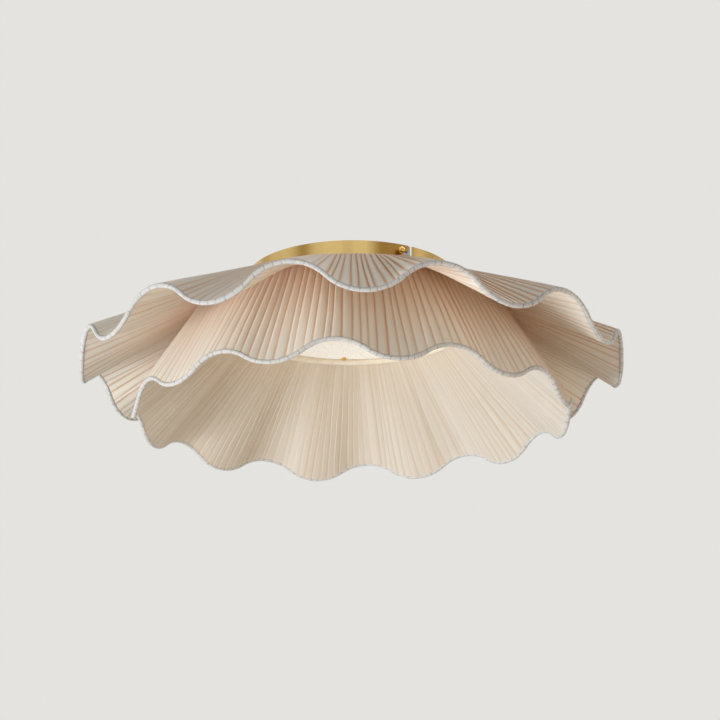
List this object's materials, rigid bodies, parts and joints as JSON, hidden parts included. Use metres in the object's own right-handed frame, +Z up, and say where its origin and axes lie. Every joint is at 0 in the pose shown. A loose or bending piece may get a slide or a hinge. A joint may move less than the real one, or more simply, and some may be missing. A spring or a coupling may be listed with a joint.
{
  "type": "flush ceiling light",
  "caption": "Flush ceiling light: two tiers of pleated fabric with scalloped taped rims under a round brass canopy that twists onto a ceiling bracket, with a diffuser disc.",
  "frame": {"origin": "centre of the ceiling bracket's two fixing holes, on the face that lies against the ceiling", "axes": "+Z up into the ceiling, square to the mounting face; -Y towards the viewer of the picture, +X to the viewer's right"},
  "size_m": [0.6054, 0.6054, 0.1775],
  "materials": {
    "brushed_brass": "brushed",
    "polished_brass": "polished",
    "zinc_plated_steel": "zinc plated",
    "white_coated_steel": "powder coated",
    "pleated_fabric": "woven, pleated",
    "lining_fabric": "woven, pleated",
    "binding_tape": "woven tape",
    "diffuser_sheet": "linen textured",
    "white_ceramic": "glazed ceramic",
    "opal_glass": "opal",
    "terminal_plastic": "moulded",
    "black_rubber": "moulded",
    "lead_insulation": "extruded sleeve",
    "earth_insulation": "extruded sleeve"
  },
  "bodies": {
    "ceiling_bracket": {"ceiling_bracket": "zinc_plated_steel"},
    "side_screw_right": {"side_screw_right": "polished_brass"},
    "side_screw_left": {"side_screw_left": "polished_brass"},
    "light_body": {"canopy": "brushed_brass", "cable_grommet": "black_rubber", "terminal_block": "terminal_plastic", "terminal_screws": "zinc_plated_steel", "supply_leads": "lead_insulation", "earth_screw": "zinc_plated_steel", "earth_lead": "earth_insulation", "lampholder_block": "white_coated_steel", "lampholder_block_screws": "zinc_plated_steel", "lampholders": "white_ceramic", "lead_splice": "terminal_plastic", "lampholder_leads": "lead_insulation", "carrier_plate": "white_coated_steel", "carrier_screws": "zinc_plated_steel", "carrier_nuts": "zinc_plated_steel", "carrier_arms": "white_coated_steel", "diffuser_hangers": "white_coated_steel", "top_ring_wire": "white_coated_steel", "top_ring_tape": "binding_tape", "outer_rim_wire": "white_coated_steel", "outer_rim_tape": "binding_tape", "outer_struts": "white_coated_steel", "inner_rim_wire": "white_coated_steel", "inner_rim_tape": "binding_tape", "inner_struts": "white_coated_steel", "outer_shade_cover": "pleated_fabric", "outer_shade_lining": "pleated_fabric", "inner_shade_cover": "pleated_fabric", "inner_shade_lining": "lining_fabric", "diffuser_ring": "white_coated_steel", "diffuser_ring_tape": "lining_fabric", "diffuser_disc": "diffuser_sheet"},
    "lamp_1": {"lamp_1_envelope": "opal_glass", "lamp_1_base": "white_ceramic", "lamp_1_pins": "zinc_plated_steel"},
    "lamp_2": {"lamp_2_envelope": "opal_glass", "lamp_2_base": "white_ceramic", "lamp_2_pins": "zinc_plated_steel"},
    "lamp_3": {"lamp_3_envelope": "opal_glass", "lamp_3_base": "white_ceramic", "lamp_3_pins": "zinc_plated_steel"},
    "lamp_4": {"lamp_4_envelope": "opal_glass", "lamp_4_base": "white_ceramic", "lamp_4_pins": "zinc_plated_steel"},
    "diffuser_screw_1": {"diffuser_screw_1": "polished_brass"},
    "diffuser_screw_2": {"diffuser_screw_2": "polished_brass"},
    "diffuser_screw_3": {"diffuser_screw_3": "polished_brass"}
  },
  "joints": [
    {"name": "canopy_twist", "type": "hinge", "parent": "ceiling_bracket", "child": "light_body", "pos_m": [0, 0, -0.01], "axis": [0, 0, 1], "range_deg": [-7, 0]},
    {"name": "side_screw_right_turn", "type": "hinge", "parent": "ceiling_bracket", "child": "side_screw_right", "pos_m": [0.05109, -0.10247, -0.01], "axis": [0.4462, -0.8949, 0], "continuous": true},
    {"name": "side_screw_left_turn", "type": "hinge", "parent": "ceiling_bracket", "child": "side_screw_left", "pos_m": [-0.05109, 0.10247, -0.01], "axis": [-0.4462, 0.8949, 0], "continuous": true},
    {"name": "lamp_1_pull", "type": "slide", "parent": "light_body", "child": "lamp_1", "axis": [0.7071, -0.7071, 0], "range_m": [0, 0.008]},
    {"name": "lamp_2_pull", "type": "slide", "parent": "light_body", "child": "lamp_2", "axis": [0.7071, 0.7071, 0], "range_m": [0, 0.008]},
    {"name": "lamp_3_pull", "type": "slide", "parent": "light_body", "child": "lamp_3", "axis": [-0.7071, 0.7071, 0], "range_m": [0, 0.008]},
    {"name": "lamp_4_pull", "type": "slide", "parent": "light_body", "child": "lamp_4", "axis": [-0.7071, -0.7071, 0], "range_m": [0, 0.008]},
    {"name": "diffuser_screw_1_turn", "type": "hinge", "parent": "light_body", "child": "diffuser_screw_1", "pos_m": [0.11102, -0.05295, -0.056], "axis": [0, 0, 1], "continuous": true},
    {"name": "diffuser_screw_2_turn", "type": "hinge", "parent": "light_body", "child": "diffuser_screw_2", "pos_m": [-0.00965, 0.12262, -0.056], "axis": [0, 0, 1], "continuous": true},
    {"name": "diffuser_screw_3_turn", "type": "hinge", "parent": "light_body", "child": "diffuser_screw_3", "pos_m": [-0.10137, -0.06967, -0.056], "axis": [0, 0, 1], "continuous": true}
  ]
}
